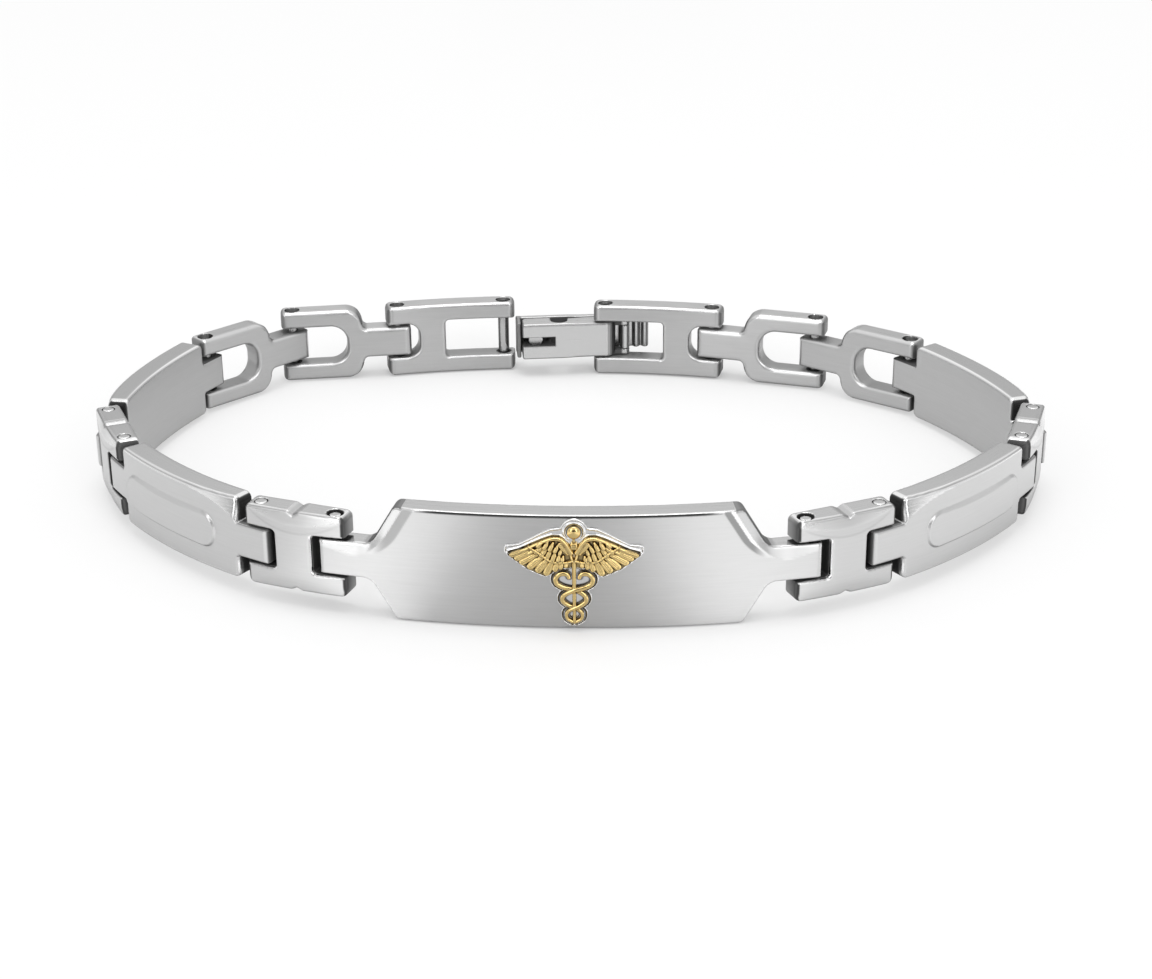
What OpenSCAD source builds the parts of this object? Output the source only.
// Medical alert bracelet: steel identification plate, pinned links and a fold-over clasp.
// It lies on its lower edge as a loose oval, the plate in front (-Y), the clasp unhooked at the back.
// The loop is laid out in a level plane, then tipped so that plate and back links touch the floor.

/* [Plate] */
// Height of the identification plate (mm)
plate_h = 9.2; // [7:0.1:14]
// Width of the plate between the tops of its shoulders (mm)
plate_w = 25.6; // [18:0.1:36]
// Distance between the two pins of the plate (mm)
plate_pitch = 34.8; // [30:0.1:46]
// Thickness of the plate (mm)
plate_t = 1.9; // [1.2:0.05:3]
// Radius of the plate's curve, seen from above (mm)
plate_curve_r = 72; // [40:1:120]
// Run of each sloping shoulder, along the plate (mm)
shoulder_run = 1.9; // [1:0.05:3]
// Height of the polished bevel along the plate's long edges (mm)
plate_bevel = 0.45; // [0.1:0.05:0.8]
// Reach of the plate's tongues past their pins (mm)
plate_tongue_reach = 1.35; // [1.1:0.01:1.5]
// Radius about a pin that the corners of the plate's tongues keep within (mm)
plate_tongue_r = 1.52; // [1.2:0.01:1.6]

/* [Links] */
// Height of every link (mm)
link_h = 6.6; // [5:0.1:9]
// Thickness of every link (mm)
link_t = 2.1; // [1.6:0.05:3]
// Height of the slots that take the tongues (mm)
slot_h = 3.2; // [2.4:0.05:4.4]
// Clearance above and below a tongue in its slot (mm)
tongue_gap = 0.2; // [0.1:0.01:0.4]
// Reach of a link's end past its pin (mm)
end_reach = 1.05; // [0.9:0.01:1.3]
// Reach of a tongue past its pin (mm)
tongue_reach = 1.2; // [1:0.01:1.4]
// Radius about a pin that a tongue's corners keep within (mm)
tongue_r = 1.42; // [1.2:0.01:1.6]
// Clearance round a turning tongue or link end (mm)
swing_gap = 0.12; // [0.05:0.01:0.4]
// Edge break along the links (mm)
edge_break = 0.12; // [0.05:0.01:0.3]
// Corner radius of the links' fronts (mm)
corner_r = 0.35; // [0.1:0.05:0.6]

/* [Short links] */
// Pin to pin length of a short link (mm)
short_pitch = 6.2; // [5.6:0.1:8]
// Bulge of a short link's outer face between its ends (mm)
short_crown = 0.4; // [0.1:0.05:0.7]
// Height of the scalloped facet in the middle of a short link (mm)
scallop_h = 1.3; // [0.5:0.05:2]
// Depth of the scalloped facet at the link's edge (mm)
scallop_depth = 0.52; // [0.2:0.02:0.7]
// Width of the notch across a short link's top and bottom edge (mm)
notch_w = 1.2; // [0.6:0.05:2]
// Depth of that notch (mm)
notch_depth = 0.32; // [0.1:0.02:0.6]

/* [Long links] */
// Pin to pin length of a long link (mm)
long_pitch = 17.8; // [14:0.1:24]
// Radius of a long link's curve, seen from above (mm)
long_curve_r = 40; // [24:1:90]
// Length of the raised oval panel (mm)
panel_l = 11.4; // [6:0.1:13]
// Height of the raised oval panel (mm)
panel_h = 3.1; // [1.5:0.05:4]
// Corner radius of the raised oval panel (mm)
panel_r = 1.15; // [0.4:0.05:1.5]
// Rise of the oval panel above the link's face (mm)
panel_rise = 0.2; // [0.1:0.02:0.4]
// Shift of the panel toward the far end of the link (mm)
panel_shift = 0.7; // [0:0.05:1.2]

/* [U links] */
// Pin to pin length of a U link (mm)
u_pitch = 9.6; // [8.6:0.1:13]
// Height of a U link's slot (mm)
u_slot_h = 3.5; // [3.3:0.05:4.6]
// Length of a U link's slot past its pin (mm)
u_slot_l = 4.9; // [2:0.1:5.2]
// Start of a U link's shoulder, from its open pin (mm)
u_shoulder_x = 5.5; // [4:0.1:6]
// Run of a U link's shoulder (mm)
u_shoulder_run = 1.8; // [1:0.05:2]
// Corner radius of a U link's slot (mm)
u_slot_r = 1.2; // [0.4:0.05:1.5]

/* [End links] */
// Pin to pin length of the catch link and of the link that carries the clasp (mm)
end_pitch = 9.8; // [8:0.1:13]
// Radius of an end link's curve, seen from above (mm)
end_curve_r = 60; // [30:1:120]
// Height of the long window (mm)
window_h = 3.54; // [3:0.02:4.4]
// Length of the long window, from the outer pin inward (mm)
window_l = 5.4; // [5:0.1:6.4]
// Depth of the short slot, past its pin (mm)
end_slot_l = 1.95; // [1.6:0.05:2.4]
// Diameter of the catch bar (mm)
bar_d = 1; // [0.8:0.02:1.2]

/* [Pins] */
// Diameter of the link pins (mm)
pin_d = 1; // [0.8:0.02:1.2]
// Radial clearance of every pin in its bore (mm)
pin_fit = 0.04; // [0.02:0.01:0.08]
// Diameter of the sunk mouth round a recessed pin (mm)
mouth_d = 1.3; // [1.2:0.02:1.5]
// Depth of a recessed pin's end below the edge (mm)
mouth_depth = 0.3; // [0.1:0.05:0.6]
// Depth of the pins' ends in the open holes of the U links (mm)
open_depth = 0.8; // [0.4:0.05:1.1]

/* [Emblem] */
// Width over the wings' tips (mm)
emblem_w = 10.2; // [7:0.1:12]
// Height of the emblem (mm)
emblem_h = 8.6; // [6:0.1:8.9]
// Rise of the steel backing above the plate's face (mm)
backing_rise = 0.22; // [0.1:0.02:0.4]
// Rise of the gold relief above the backing (mm)
relief_rise = 0.34; // [0.2:0.02:0.6]
// Seam between emblem, backing and plate (mm)
emblem_seam = 0.02; // [0.01:0.01:0.05]
// Rim of the backing round the gold relief (mm)
backing_margin = 0.2; // [0.1:0.02:0.4]
// Distance of the emblem's upper end from the plate's upper edge (mm)
emblem_inset = 0.18; // [0.1:0.02:0.6]

/* [Clasp] */
// Height of the clasp's base at its pin (mm)
base_h = 3.3; // [2.8:0.05:3.4]
// Height of the clasp's base at its free end (mm)
base_end_h = 3.1; // [2.4:0.05:3.3]
// Length of the base from its pin to the free end (mm)
base_l = 7.7; // [6.6:0.1:8.2]
// Thickness of the base (mm)
base_t = 1.9; // [1.6:0.05:2.2]
// Radius of the base's round end (mm)
knuckle_r = 0.92; // [0.8:0.02:1]
// Turn of the unhooked clasp into the loop, from the line of its link (degrees)
clasp_turn = 12.5; // [0:0.5:40]
// Diameter of the clasp's own pin (mm)
clasp_pin_d = 0.9; // [0.7:0.02:1]
// Height of the slot at the base's free end (mm)
base_slot_h = 0.86; // [0.5:0.02:1.1]
// Length of that slot (mm)
base_slot_l = 3; // [2:0.1:3.4]
// Radius of the notch that takes the catch bar (mm)
notch_r = 0.74; // [0.65:0.02:0.9]
// Distance of that notch from the clasp's pin (mm)
notch_x = 4.27; // [3.6:0.05:4.5]
// Thickness of the cover's leaf (mm)
cover_t = 0.62; // [0.4:0.02:0.9]
// Gap between base and cover (mm)
leaf_gap = 0.1; // [0.05:0.01:0.2]
// Diameter of the snap button (mm)
button_d = 1.37; // [1:0.02:1.6]
// Distance of the button from the base's free end (mm)
button_inset = 1.25; // [1.1:0.05:1.6]
// Depth of the button's end below the base's inner face (mm)
button_depth = 0.68; // [0.4:0.02:1]
// Thickness of the lip that folds over the base's free end (mm)
lip_t = 0.38; // [0.3:0.02:0.6]
// Reach of that lip past the clasp pin's line toward the inner side (mm)
lip_reach = 0.36; // [0:0.02:0.8]
// Distance of the cover's pin past the clasp's pin (mm)
cover_pin_x = 1.8; // [1.6:0.02:2.2]
// Diameter of the cover's pin (mm)
cover_pin_d = 0.46; // [0.4:0.02:0.6]
// Radius of the cover's knuckle (mm)
cover_knuckle_r = 0.42; // [0.36:0.01:0.5]
// Height of each lug that carries the cover's pin (mm)
lug_t = 0.46; // [0.3:0.02:0.6]
// Reach of the cover's thumb tail past its pin (mm)
tail_l = 2.3; // [1.6:0.1:2.8]
// Radius of the two grip ridges across the tail (mm)
ridge_r = 0.31; // [0.2:0.01:0.4]

/* [Lay] */
// Distance between catch bar and clasp pin, across the opening (mm)
mouth_gap = 9.47; // [9:0.1:14]
// Middle of the opening, to the left of the plate's centre when negative (mm)
mouth_x = -3.26; // [-5:0.1:5]

/* [Hidden] */
$fn = 64;

steel = [0.74, 0.74, 0.75];
bright = [0.85, 0.85, 0.86];
gold = [0.85, 0.66, 0.3];

LEFT = 0;
RIGHT = 1;
eps = 0.01;
far = 80;

// Chain order from the plate outward, with the turn of each link from the plate's own line, one row a side.
pitches = [short_pitch, long_pitch, short_pitch, long_pitch, u_pitch, u_pitch, end_pitch];
turns = [[19, 43, 66, 106, 134.5, 170.5, 171],
         [25.5, 46.5, 74, 118.5, 146, 165, 174]];

// Each half chain swings about its plate pin until its last pin stands at its side of the opening.
function step(side, i, swing) = pitches[i] * [-cos(turns[side][i] - swing), sin(turns[side][i] - swing)];
function walk(side, i, swing) = i == 0 ? [0, 0] : walk(side, i - 1, swing) + step(side, i - 1, swing);
function mouth_side(side) = (side == LEFT ? mouth_x : -mouth_x) - mouth_gap / 2 + plate_pitch / 2;
function swing_of(side) = let (e = walk(side, 7, 0))
    acos(mouth_side(side) / norm(e)) - atan2(e[1], e[0]);
function pin_at(side, i) = [-plate_pitch / 2, 0] + walk(side, i, swing_of(side));
function heading(side, i) = 180 - turns[side][i] + swing_of(side);

// Level of the floor under the tipped loop.
plate_sag = plate_curve_r - sqrt(pow(plate_curve_r, 2) - pow(plate_pitch / 2, 2));
shoulder_sag = plate_curve_r - sqrt(pow(plate_curve_r, 2) - pow(plate_w / 2, 2));
front_touch = plate_t / 2 - plate_sag + shoulder_sag;
back_touch = pin_at(LEFT, 7)[1] + link_t / 2;
tip = atan((plate_h - link_h) / 2 / (back_touch - front_touch));
rise = front_touch * sin(tip) + plate_h / 2 * cos(tip);
// The origin is on the floor, under the middle of the plate's lower edge.
edge_y = -plate_sag * cos(tip) - plate_h / 2 * sin(tip);

tongue_h = slot_h - 2 * tongue_gap;
slot_reach = tongue_r + swing_gap;
plate_slot_reach = plate_tongue_r + swing_gap;
ear_round = sqrt(pow(end_reach, 2) + pow(link_t / 2, 2)) - swing_gap;
body_start = sqrt(pow(end_reach, 2) + pow(link_t / 2, 2)) + 2 * swing_gap;
bore_d = pin_d + 2 * pin_fit;

module tipped() translate([0, -edge_y, rise]) rotate([-tip, 0, 0]) children();

module on_side(side) tipped() mirror([side, 0, 0]) children();

// Puts a link with its first pin at the origin, its length along +X and its outer face toward +Y.
module link_place(side, i)
    on_side(side) translate([pin_at(side, i)[0], pin_at(side, i)[1], 0]) rotate([0, 0, heading(side, i)])
        children();

module along_y(depth) rotate([90, 0, 0]) translate([0, 0, -depth / 2]) linear_extrude(depth) children();

module rounded_box(x0, x1, h, r) {
    translate([x0 + r, -h / 2]) square([x1 - x0 - 2 * r, h]);
    translate([x0, -h / 2 + r]) square([x1 - x0, h - 2 * r]);
    for (x = [x0 + r, x1 - r], z = [-h / 2 + r, h / 2 - r]) translate([x, z]) circle(r);
}

function corner(x, y, r, a) = [for (k = [0:3]) [x + r * cos(a + k * 30), y + r * sin(a + k * 30)]];

// Front of a link: its corners are cut in three steps, which the curved faces carry more surely than an arc.
module soft_box(x0, x1, h, r)
    polygon(concat(corner(x1 - r, h / 2 - r, r, 0), corner(x0 + r, h / 2 - r, r, 90),
                   corner(x0 + r, -h / 2 + r, r, 180), corner(x1 - r, -h / 2 + r, r, 270)));

module bores(length, mouths) {
    for (k = [0, 1]) translate([k * length, 0, 0]) {
        cylinder(h = link_h + 1, d = bore_d, center = true);
        if (mouths[k] > 0)
            for (m = [0, 1]) mirror([0, 0, m]) translate([0, 0, link_h / 2 - mouths[k]])
                cylinder(h = mouths[k] + 1, d = mouth_d);
    }
}

// Straight bar with broken edges, as wide as a link is thick.
module straight_bar(x0, x1, h, t, bevel)
    translate([x0, 0, 0]) rotate([90, 0, 90]) linear_extrude(x1 - x0) bar_section(-t / 2, t / 2, h, bevel);

module bar_section(y0, y1, h, bevel)
    polygon([[y0 + bevel, -h / 2], [y1 - bevel, -h / 2], [y1, -h / 2 + bevel], [y1, h / 2 - bevel],
             [y1 - bevel, h / 2], [y0 + bevel, h / 2], [y0, h / 2 - bevel], [y0, -h / 2 + bevel]]);

// Curved bar through both pins, its outer face toward +Y.
module curved_bar(length, r, h, t, bevel)
    translate([length / 2, -sqrt(r * r - length * length / 4), 0])
        rotate_extrude($fn = 180) translate([r, 0]) bar_section(-t / 2, t / 2, h, bevel);

// Curved wall about the same axis, from y0 to y1 outward of the line through both pins' arc.
module curved_shell(length, r, h, y0, y1)
    translate([length / 2, -sqrt(r * r - length * length / 4), 0]) difference() {
        cylinder(h = h, r = r + y1, center = true, $fn = 180);
        cylinder(h = h + 1, r = r + y0, center = true, $fn = 180);
    }

// What stays of a tongue near its pin: its end and its corners are rounded about the pin.
module tongue_room(reach, r) {
    intersection() {
        cylinder(h = far, r = r, center = true);
        translate([-reach, -far / 2, -far / 2]) cube([reach + r, far, far]);
    }
    translate([0, -far / 2, -far / 2]) cube(far);
}

// What stays of a link between its two rounded ends.
module end_room(length, reach0, r0, reach1, r1) intersection() {
    tongue_room(reach0, r0);
    translate([length, 0, 0]) mirror([1, 0, 0]) tongue_room(reach1, r1);
}

module short_link(side, i, slot0, mouths) color(steel) link_place(side, i) difference() {
    short_body();
    along_y(far) rounded_box(-far, slot0, slot_h, corner_r);
    along_y(far) rounded_box(short_pitch - slot_reach, far, slot_h, corner_r);
    for (m = [0, 1]) mirror([0, 0, m]) short_edge_cuts();
    bores(short_pitch, mouths);
}

crown_y = link_t / 2 + short_crown / 2;

// Block with a bulged outer face, highest in the middle of its length.
module short_body() {
    half = short_pitch / 2 + end_reach;
    bulge_r = (half * half + short_crown * short_crown) / (2 * short_crown);
    intersection() {
        translate([short_pitch / 2, crown_y - bulge_r, 0])
            cylinder(h = link_h, r = bulge_r, center = true, $fn = 180);
        translate([-end_reach, -link_t / 2, -link_h / 2]) cube([2 * half, link_t + short_crown, link_h]);
        along_y(far) soft_box(-end_reach, short_pitch + end_reach, link_h, corner_r);
    }
}

// Scalloped facet along the outer edge, and the notch across the middle of that edge.
module short_edge_cuts() {
    translate([short_pitch / 2, crown_y, link_h / 2 - scallop_h])
        rotate([atan(scallop_depth / scallop_h), 0, 0]) translate([-far / 2, 0, 0]) cube(far);
    translate([short_pitch / 2, 0, link_h / 2]) along_y(far)
        polygon([[-notch_w / 2, eps], [0, -notch_depth], [notch_w / 2, eps]]);
}

module long_link(side, i) color(steel) link_place(side, i) difference() {
    intersection() {
        union() {
            intersection() {
                curved_bar(long_pitch, long_curve_r, link_h, link_t, edge_break);
                along_y(far) long_front();
            }
            long_panel();
        }
        end_room(long_pitch, tongue_reach, tongue_r, tongue_reach, tongue_r);
    }
    bores(long_pitch, [0, 0]);
}

module long_front() {
    soft_box(body_start, long_pitch - body_start, link_h, corner_r);
    translate([-tongue_r, -tongue_h / 2]) square([long_pitch + 2 * tongue_r, tongue_h]);
}

module long_panel() {
    x0 = long_pitch / 2 + panel_shift - panel_l / 2;
    intersection() {
        curved_shell(long_pitch, long_curve_r, link_h, link_t / 2 - panel_rise, link_t / 2 + panel_rise);
        translate([0, far / 2, 0]) along_y(far) soft_box(x0, x0 + panel_l, panel_h, panel_r);
    }
}

u_neck_x = u_shoulder_x + u_shoulder_run;

module u_link(side, i) color(steel) link_place(side, i) difference() {
    intersection() {
        union() {
            intersection() {
                straight_bar(-end_reach, u_neck_x, link_h, link_t, edge_break);
                along_y(far) u_front();
            }
            straight_bar(u_neck_x - eps, u_pitch + tongue_r, tongue_h, link_t, edge_break);
        }
        end_room(u_pitch, end_reach, ear_round, tongue_reach, tongue_r);
    }
    along_y(far) rounded_box(-far, u_slot_l, u_slot_h, u_slot_r);
    bores(u_pitch, [open_depth, 0]);
}

module u_front() {
    soft_box(-end_reach, u_shoulder_x, link_h, corner_r);
    polygon([[u_shoulder_x - corner_r, -link_h / 2], [u_shoulder_x, -link_h / 2], [u_neck_x, -tongue_h / 2],
             [u_neck_x, tongue_h / 2], [u_shoulder_x, link_h / 2], [u_shoulder_x - corner_r, link_h / 2]]);
}

module window_link(side) color(steel) link_place(side, 6) difference() {
    intersection() {
        curved_bar(end_pitch, end_curve_r, link_h, link_t, edge_break);
        along_y(far) soft_box(-end_reach, end_pitch + end_reach, link_h, corner_r);
        end_room(end_pitch, end_reach, ear_round, end_reach, ear_round);
    }
    along_y(far) rounded_box(-far, end_slot_l, slot_h, u_slot_r);
    along_y(far) rounded_box(end_pitch - window_l, far, window_h, corner_r);
    bores(end_pitch, [open_depth, mouth_depth]);
}

module pin(d, sunk) color(bright) cylinder(h = link_h - 2 * sunk, d = d, center = true);

plate_axis_y = sqrt(pow(plate_curve_r, 2) - pow(plate_pitch / 2, 2));
plate_bevel_in = plate_bevel * 0.6;

module id_plate() color(steel) tipped() rotate([0, 0, 180]) translate([-plate_pitch / 2, 0, 0]) difference() {
    intersection() {
        plate_bar();
        along_y(far) plate_front();
        end_room(plate_pitch, plate_tongue_reach, plate_tongue_r, plate_tongue_reach, plate_tongue_r);
    }
    bores(plate_pitch, [0, 0]);
}

// Curved bar of the plate, with the bevels of its upper and lower edge.
module plate_bar() {
    inner = plate_curve_r - plate_t / 2;
    outer = plate_curve_r + plate_t / 2;
    translate([plate_pitch / 2, -plate_axis_y, 0]) rotate_extrude($fn = 180)
        polygon([[inner, -plate_h / 2], [outer - plate_bevel_in, -plate_h / 2],
                 [outer, -plate_h / 2 + plate_bevel], [outer, plate_h / 2 - plate_bevel],
                 [outer - plate_bevel_in, plate_h / 2], [inner, plate_h / 2]]);
}

module plate_front() translate([plate_pitch / 2, 0]) {
    foot = plate_w / 2 + shoulder_run;
    square([plate_pitch + 2 * plate_tongue_r, tongue_h], center = true);
    polygon([[-plate_w / 2, -plate_h / 2], [plate_w / 2, -plate_h / 2], [foot, -tongue_h / 2],
             [foot, tongue_h / 2], [plate_w / 2, plate_h / 2], [-plate_w / 2, plate_h / 2],
             [-foot, tongue_h / 2], [-foot, -tongue_h / 2]]);
}

// The emblem is drawn as seen from the front: x to the right and y up, in millimetres from its middle.
// Feathers of the right wing, from the lowest: root and tip, as shares of half the width and half the height.
feathers = [[0.14, 0.36, 0.42, -0.09], [0.16, 0.43, 0.54, -0.05], [0.18, 0.5, 0.66, 0.03],
            [0.2, 0.57, 0.78, 0.13], [0.23, 0.64, 0.89, 0.26], [0.26, 0.71, 0.95, 0.4]];
feather_r = emblem_w * 0.026;
covert_reach = 0.42;
orb = [0, emblem_h * 0.385];
orb_r = emblem_h * 0.058;
staff_top = emblem_h * 0.34;
staff_foot = -emblem_h * 0.49;
staff_r = emblem_h * 0.028;
// Loops of the two serpents, from the top: upper and lower crossing, half width, as shares of the height.
loops = [[-0.01, -0.185, 0.15], [-0.185, -0.345, 0.108], [-0.345, -0.475, 0.08]];
serpent_r = emblem_h * 0.023;
collar_y = emblem_h * 0.24;
collar_w = emblem_w * 0.12;

function loop_y(l) = (l[0] + l[1]) / 2 * emblem_h;
function loop_half(l) = (l[0] - l[1]) / 2 * emblem_h;
function loop_r(l) = (pow(loop_half(l), 2) + pow(l[2] * emblem_h, 2)) / (2 * l[2] * emblem_h);
function loop_x(l) = l[2] * emblem_h - loop_r(l);

face_r = plate_curve_r + plate_t / 2;
backing_r = face_r + backing_rise;

module emblem_place() tipped() translate([0, 0, (plate_h - emblem_h) / 2 - emblem_inset]) children();

module plate_disc(r) translate([0, plate_axis_y, 0]) cylinder(h = far, r = r, center = true, $fn = 180);

// Outline from the front, reaching out to a radius about the plate's own axis.
module under_disc(r) intersection() {
    plate_disc(r);
    along_y(far) children();
}

module on_face(r0, r1) difference() {
    under_disc(r1) children();
    plate_disc(r0);
}

// Bar with rounded ends from a to b, each end in six steps.
module stroke(a, b, r) {
    d = b - a;
    t = atan2(d[1], d[0]);
    polygon([for (k = [0:6]) a + r * [cos(t + 90 + 30 * k), sin(t + 90 + 30 * k)],
             for (k = [0:6]) b + r * [cos(t - 90 + 30 * k), sin(t - 90 + 30 * k)]]);
}

function root_of(f) = [f[0] * emblem_w / 2, f[1] * emblem_h / 2];
function tip_of(f) = [f[2] * emblem_w / 2, f[3] * emblem_h / 2];

module wings(reach, margin) for (m = [0, 1]) mirror([m, 0]) for (f = feathers)
    stroke(root_of(f), root_of(f) + reach * (tip_of(f) - root_of(f)), feather_r + margin);

module emblem_back() color(bright) emblem_place() on_face(face_r + emblem_seam, backing_r) {
    wings(1, backing_margin);
    translate(orb) regular(orb_r + backing_margin);
    stroke([0, staff_top], [0, staff_foot + staff_r], staff_r + backing_margin);
    for (l = loops) loop_back(l);
}

module loop_back(l) {
    x = l[2] * emblem_h + serpent_r + backing_margin;
    h = 2 * (loop_half(l) + serpent_r + backing_margin);
    translate([0, loop_y(l)]) soft_box(-x, x, h, h * 0.45);
}

module emblem_gold() color(gold) emblem_place() difference() {
    union() {
        under_disc(backing_r + relief_rise * 0.5) wings(1, 0);
        under_disc(backing_r + relief_rise * 0.7) wings(covert_reach, feather_r * 0.2);
        under_disc(backing_r + relief_rise * 0.85) serpents();
        under_disc(backing_r + relief_rise) staff();
    }
    plate_disc(backing_r + emblem_seam);
}

module serpents() for (l = loops) serpent_loop(l);

// One loop of each serpent: the arcs on both sides of the staff, which cross at the loop's ends.
module serpent_loop(l) for (m = [0, 1]) mirror([m, 0]) intersection() {
    translate([loop_x(l), loop_y(l)]) difference() {
        circle(loop_r(l) + serpent_r);
        circle(loop_r(l) - serpent_r);
    }
    translate([0, -emblem_h]) square(2 * emblem_h);
}

module staff() {
    translate(orb) regular(orb_r);
    polygon([[-staff_r, orb[1]], [-staff_r * 0.5, staff_foot], [staff_r * 0.5, staff_foot],
             [staff_r, orb[1]]]);
    translate([0, collar_y]) square([collar_w, collar_w * 0.9], center = true);
    for (m = [0, 1]) mirror([m, 0]) stroke([0, loops[0][0] * emblem_h],
        [loops[0][2] * emblem_h * 0.4, loops[0][0] * emblem_h + serpent_r], serpent_r * 1.2);
}

module regular(r) polygon([for (k = [0:23]) r * [cos(k * 15), sin(k * 15)]]);

// The clasp's frame: its pin at the origin, the free end toward +X, the outer side toward +Y.
module clasp_place() link_place(RIGHT, 6) translate([end_pitch, 0, 0]) rotate([0, 0, -clasp_turn]) children();

base_in = -knuckle_r;
base_out = base_in + base_t;
cover_in = base_out + leaf_gap;
cover_out = cover_in + cover_t;
notch_y = base_out - notch_r * 0.85;
button_x = base_l - button_inset;
button_end = base_in + button_depth;
lip_x = base_l + leaf_gap;
cover_end = lip_x + lip_t;
lug_z = base_h / 2 - lug_t;
knuckle_half = lug_z - leaf_gap / 2;
tail_x = -cover_pin_x - tail_l;

// Height of the clasp's leaves, seen from the inside: they taper toward the free end.
module leaf_front(x0, x1, inset) {
    h0 = leaf_half(x0) - inset;
    h1 = leaf_half(x1) - inset;
    polygon([[x0, -h0], [x1, -h1], [x1, h1], [x0, h0]]);
}

function leaf_half(x) = (base_h + (base_end_h - base_h) * max(x, 0) / base_l) / 2;

module cover_pin_bore() translate([-cover_pin_x, 0, 0])
    cylinder(h = base_h + 1, d = cover_pin_d + 2 * pin_fit, center = true);

module clasp_base() color(steel) clasp_place() difference() {
    union() {
        intersection() {
            along_y(far) leaf_front(0, base_l, 0);
            linear_extrude(base_h, center = true) base_plan();
        }
        cylinder(h = base_h, r = knuckle_r, center = true);
        for (m = [0, 1]) mirror([0, 0, m]) translate([0, 0, lug_z]) linear_extrude(lug_t) lug_plan();
    }
    cylinder(h = base_h + 1, d = clasp_pin_d + 2 * pin_fit, center = true);
    cover_pin_bore();
    translate([base_l - base_slot_l, -far / 2, -base_slot_h / 2]) cube([far, far, base_slot_h]);
    translate([button_x, button_end - leaf_gap, 0]) rotate([-90, 0, 0])
        cylinder(h = far, r = button_d / 2 + leaf_gap);
}

// The notch opens outward, with a ramp that leads the catch bar in from the pin's side.
module base_plan() difference() {
    translate([0, base_in]) square([base_l, base_t]);
    translate([notch_x, notch_y]) circle(notch_r);
    translate([notch_x - notch_r, notch_y]) square([2 * notch_r, base_t]);
    polygon([[notch_x, base_out + eps], [notch_x - 3 * notch_r, base_out + eps],
             [notch_x, base_out - 0.6 * notch_r]]);
}

module lug_plan() {
    translate([-cover_pin_x, 0]) circle(cover_knuckle_r);
    translate([-cover_pin_x, -cover_knuckle_r]) square([cover_pin_x, 2 * cover_knuckle_r]);
}

module clasp_cover() color(steel) clasp_place() difference() {
    union() {
        intersection() {
            cover_leaf();
            along_y(far) cover_front();
        }
        cover_knuckle();
        translate([button_x, button_end, 0]) rotate([-90, 0, 0])
            cylinder(h = cover_in - button_end + eps, d = button_d);
    }
    cover_pin_bore();
}

// Leaf with the lip over the base's free end and two grip ridges across the tail.
module cover_leaf() {
    translate([tail_x, cover_in, -base_h / 2]) cube([cover_end - tail_x, cover_t, base_h]);
    translate([lip_x, -lip_reach, -base_h / 2]) cube([lip_t, cover_out + lip_reach, base_h]);
    for (k = [0.5, 0.85]) translate([-cover_pin_x - k * tail_l, cover_in, 0])
        cylinder(h = base_h, r = ridge_r, center = true);
}

module cover_front() {
    step_x = -cover_pin_x + cover_knuckle_r;
    leaf_front(0, cover_end, 0);
    leaf_front(step_x, eps, 0);
    leaf_front(tail_x - ridge_r, step_x + eps, lug_t * 0.4);
}

module cover_knuckle() translate([-cover_pin_x, 0, 0]) {
    cylinder(h = 2 * knuckle_half, r = cover_knuckle_r, center = true);
    translate([-cover_knuckle_r, 0, -knuckle_half])
        cube([2 * cover_knuckle_r, cover_in + eps, 2 * knuckle_half]);
}

module link_pin(side, i) link_place(side, i) pin(pin_d, sunk[i]);

module catch_bar() link_place(LEFT, 6) translate([end_pitch, 0, 0]) pin(bar_d, mouth_depth);

module clasp_pin() link_place(RIGHT, 6) translate([end_pitch, 0, 0]) pin(clasp_pin_d, mouth_depth);

module cover_pin() color(bright) clasp_place() translate([-cover_pin_x, 0, 0])
    cylinder(h = base_h, d = cover_pin_d, center = true);

// Depth of each pin's ends below the links' edges, from the plate to the clasp.
sunk = [mouth_depth, 0, 0, 0, open_depth, open_depth, open_depth];
front_mouths = [mouth_depth, 0];
flush_mouths = [0, 0];

id_plate();
emblem_back();
emblem_gold();
short_link(LEFT, 0, plate_slot_reach, front_mouths);  // short_link_left_front
short_link(LEFT, 2, slot_reach, flush_mouths);  // short_link_left_side
short_link(RIGHT, 0, plate_slot_reach, front_mouths);  // short_link_right_front
short_link(RIGHT, 2, slot_reach, flush_mouths);  // short_link_right_side
long_link(LEFT, 1);  // long_link_left_front
long_link(LEFT, 3);  // long_link_left_back
long_link(RIGHT, 1);  // long_link_right_front
long_link(RIGHT, 3);  // long_link_right_back
u_link(LEFT, 4);  // u_link_left_1
u_link(LEFT, 5);  // u_link_left_2
u_link(RIGHT, 4);  // u_link_right_1
u_link(RIGHT, 5);  // u_link_right_2
window_link(LEFT);  // catch_link
window_link(RIGHT);  // end_link
link_pin(LEFT, 0);  // pin_left_1
link_pin(LEFT, 1);  // pin_left_2
link_pin(LEFT, 2);  // pin_left_3
link_pin(LEFT, 3);  // pin_left_4
link_pin(LEFT, 4);  // pin_left_5
link_pin(LEFT, 5);  // pin_left_6
link_pin(LEFT, 6);  // pin_left_7
link_pin(RIGHT, 0);  // pin_right_1
link_pin(RIGHT, 1);  // pin_right_2
link_pin(RIGHT, 2);  // pin_right_3
link_pin(RIGHT, 3);  // pin_right_4
link_pin(RIGHT, 4);  // pin_right_5
link_pin(RIGHT, 5);  // pin_right_6
link_pin(RIGHT, 6);  // pin_right_7
catch_bar();
clasp_pin();
cover_pin();
clasp_base();
clasp_cover();
